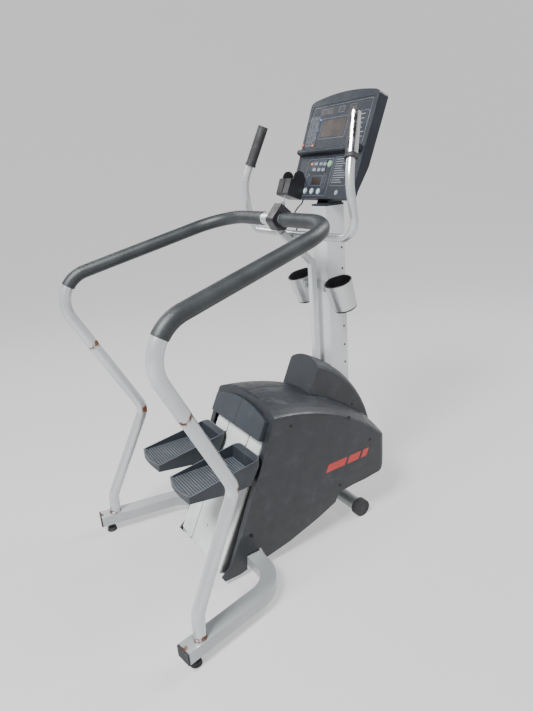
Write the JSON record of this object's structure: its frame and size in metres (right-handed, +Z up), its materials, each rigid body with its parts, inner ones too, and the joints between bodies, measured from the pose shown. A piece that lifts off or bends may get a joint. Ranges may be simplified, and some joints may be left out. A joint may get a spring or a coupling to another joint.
{
  "type": "stair climber",
  "caption": "Upright stair climber: two independent pedals slide on a sloping track into a moulded housing, under a mast with console, cups, hand grips and a wrap-round handrail.",
  "frame": {"origin": "centre of the bounding box's footprint, on the floor", "axes": "+Y forwards, from the user towards the console; +X to the user's right; +Z up"},
  "size_m": [0.8446, 0.9876, 1.4817],
  "materials": {
    "silver_paint": "satin",
    "white_paint": "satin",
    "black_rubber": "matt",
    "foam": "matt foam",
    "charcoal_plastic": "fine texture",
    "slate_plastic": "fine texture",
    "light_plastic": "satin",
    "black_plastic": "satin",
    "silver_plastic": "satin",
    "window": "gloss",
    "keypad": "satin",
    "key_green": "satin",
    "key_red": "satin",
    "key_pale": "satin",
    "chrome": "polished",
    "plain_steel": "plain",
    "cast": "plain",
    "alu": "plain",
    "nylon": "plain",
    "board": "plain"
  },
  "bodies": {
    "frame": {"rear_foot_tube": "silver_paint", "end_caps": "black_rubber", "levelling_feet": "black_rubber", "front_stabiliser": "silver_paint", "base_spine": "silver_paint", "mast": "white_paint", "side_tubes": "silver_paint", "handrail_tube": "silver_paint", "handrail_foam": "foam", "receiver_box": "black_plastic", "support_arm": "white_paint", "horn_tube": "silver_paint", "grip_sleeves": "black_rubber", "pulse_plates": "chrome", "console_neck": "charcoal_plastic", "console_back": "charcoal_plastic", "console_face": "charcoal_plastic", "display_windows": "window", "number_pad": "keypad", "device_cradle": "black_plastic", "cradle_lead": "black_rubber", "console_cable": "black_rubber", "cup_bracket": "silver_paint", "cup_left": "silver_plastic", "cup_right": "silver_plastic", "cup_liners": "black_plastic", "side_shell_left": "charcoal_plastic", "side_shell_right": "charcoal_plastic", "rear_cover_left": "slate_plastic", "rear_cover_right": "slate_plastic", "mast_cover": "charcoal_plastic", "track_centre_panel": "light_plastic", "track_strips": "light_plastic", "guide_channels": "plain_steel", "drive_frame": "silver_paint", "drive_chains": "plain_steel", "bearings": "plain_steel", "return_springs": "plain_steel", "drive_belt": "black_rubber", "alternator": "alu", "control_board": "board", "fasteners": "chrome"},
    "step_left": {"pedal_left": "slate_plastic", "carriage_left": "cast"},
    "wheels_left": {"wheels_left": "nylon"},
    "sprocket_left": {"sprocket_left": "plain_steel"},
    "idler_left": {"idler_left": "plain_steel"},
    "step_right": {"pedal_right": "slate_plastic", "carriage_right": "cast"},
    "wheels_right": {"wheels_right": "nylon"},
    "sprocket_right": {"sprocket_right": "plain_steel"},
    "idler_right": {"idler_right": "plain_steel"},
    "drive_shaft": {"drive_shaft": "plain_steel", "step_up_pulley": "alu"},
    "rotor": {"alternator_rotor": "plain_steel"},
    "key_go": {"key_go": "key_green"},
    "key_stop": {"key_stop": "key_red"},
    "key_quick_left": {"key_quick_left": "key_pale"},
    "key_quick_mid": {"key_quick_mid": "key_pale"},
    "key_quick_right": {"key_quick_right": "key_pale"}
  },
  "joints": [
    {"name": "step_left_slide", "type": "slide", "parent": "frame", "child": "step_left", "axis": [0, -0.454, -0.891], "range_m": [0, 0.28], "stiffness_N_per_m": 120, "springref_m": -0.4},
    {"name": "wheels_left_roll", "type": "hinge", "parent": "step_left", "child": "wheels_left", "pos_m": [-0.112, -0.06153, 0.37923], "axis": [1, 0, 0], "range_deg": [-1150, 0]},
    {"name": "sprocket_left_spin", "type": "hinge", "parent": "frame", "child": "sprocket_left", "pos_m": [-0.112, 0.04303, 0.43819], "axis": [1, 0, 0], "range_deg": [0, 460]},
    {"name": "idler_left_spin", "type": "hinge", "parent": "frame", "child": "idler_left", "pos_m": [-0.112, -0.14917, 0.09841], "axis": [1, 0, 0], "range_deg": [0, 893]},
    {"name": "step_right_slide", "type": "slide", "parent": "frame", "child": "step_right", "axis": [0, -0.454, -0.891], "range_m": [0, 0.28], "stiffness_N_per_m": 120, "springref_m": -0.4},
    {"name": "wheels_right_roll", "type": "hinge", "parent": "step_right", "child": "wheels_right", "pos_m": [0.112, -0.06153, 0.37923], "axis": [1, 0, 0], "range_deg": [-1150, 0]},
    {"name": "sprocket_right_spin", "type": "hinge", "parent": "frame", "child": "sprocket_right", "pos_m": [0.112, 0.04303, 0.43819], "axis": [1, 0, 0], "range_deg": [0, 460]},
    {"name": "idler_right_spin", "type": "hinge", "parent": "frame", "child": "idler_right", "pos_m": [0.112, -0.14917, 0.09841], "axis": [1, 0, 0], "range_deg": [0, 893]},
    {"name": "drive_shaft_spin", "type": "hinge", "parent": "frame", "child": "drive_shaft", "pos_m": [0, 0.04303, 0.43819], "axis": [1, 0, 0], "continuous": true},
    {"name": "rotor_spin", "type": "hinge", "parent": "frame", "child": "rotor", "pos_m": [0, 0.2416, 0.25], "axis": [1, 0, 0], "continuous": true},
    {"name": "key_go_press", "type": "slide", "parent": "frame", "child": "key_go", "axis": [0, 0.9272, -0.3746], "range_m": [0, 0.0008], "stiffness_N_per_m": 600, "springref_m": -0.0004},
    {"name": "key_stop_press", "type": "slide", "parent": "frame", "child": "key_stop", "axis": [0, 0.9272, -0.3746], "range_m": [0, 0.0008], "stiffness_N_per_m": 600, "springref_m": -0.0004},
    {"name": "key_quick_left_press", "type": "slide", "parent": "frame", "child": "key_quick_left", "axis": [0, 0.9272, -0.3746], "range_m": [0, 0.0008], "stiffness_N_per_m": 600, "springref_m": -0.0004},
    {"name": "key_quick_mid_press", "type": "slide", "parent": "frame", "child": "key_quick_mid", "axis": [0, 0.9272, -0.3746], "range_m": [0, 0.0008], "stiffness_N_per_m": 600, "springref_m": -0.0004},
    {"name": "key_quick_right_press", "type": "slide", "parent": "frame", "child": "key_quick_right", "axis": [0, 0.9272, -0.3746], "range_m": [0, 0.0008], "stiffness_N_per_m": 600, "springref_m": -0.0004}
  ],
  "couplings": [
    {"joint": "wheels_left_roll", "follows": "step_left_slide", "rad_per_m": -71.429},
    {"joint": "sprocket_left_spin", "follows": "step_left_slide", "rad_per_m": 28.571},
    {"joint": "idler_left_spin", "follows": "step_left_slide", "rad_per_m": 55.556},
    {"joint": "wheels_right_roll", "follows": "step_right_slide", "rad_per_m": -71.429},
    {"joint": "sprocket_right_spin", "follows": "step_right_slide", "rad_per_m": 28.571},
    {"joint": "idler_right_spin", "follows": "step_right_slide", "rad_per_m": 55.556},
    {"joint": "rotor_spin", "follows": "drive_shaft_spin", "ratio": 4.2184}
  ]
}
